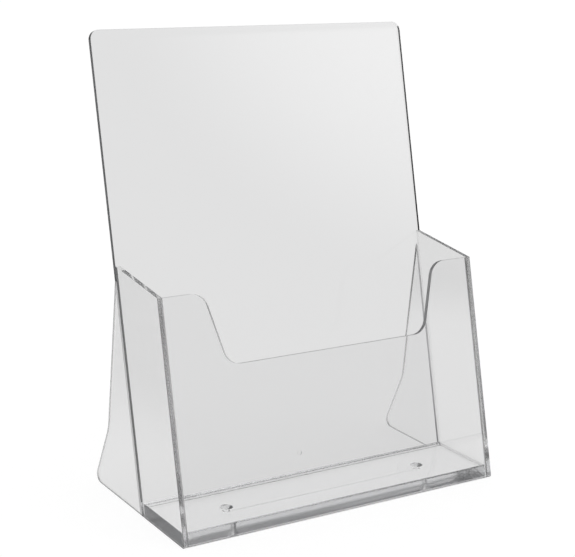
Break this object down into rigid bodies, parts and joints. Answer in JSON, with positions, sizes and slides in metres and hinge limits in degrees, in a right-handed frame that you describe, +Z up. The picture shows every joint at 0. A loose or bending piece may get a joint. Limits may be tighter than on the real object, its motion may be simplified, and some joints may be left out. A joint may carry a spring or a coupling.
{
  "type": "brochure rack",
  "caption": "Clear tabletop brochure rack with a leaning back, a low front panel with a wide thumb cut-out, and rear support wings.",
  "frame": {"origin": "centre of the whole rack's footprint box, on the surface it stands on", "axes": "+Z up, the front panel faces -Y, +X is to the right as seen from the front"},
  "size_m": [0.231, 0.1318, 0.2859],
  "materials": {
    "clear_plastic": "clear polished cast acrylic sheet"
  },
  "bodies": {
    "root": {"back_panel": "clear_plastic", "front_panel": "clear_plastic", "floor_panel": "clear_plastic", "left_side_panel": "clear_plastic", "right_side_panel": "clear_plastic", "left_support_wing": "clear_plastic", "right_support_wing": "clear_plastic"}
  },
  "joints": []
}
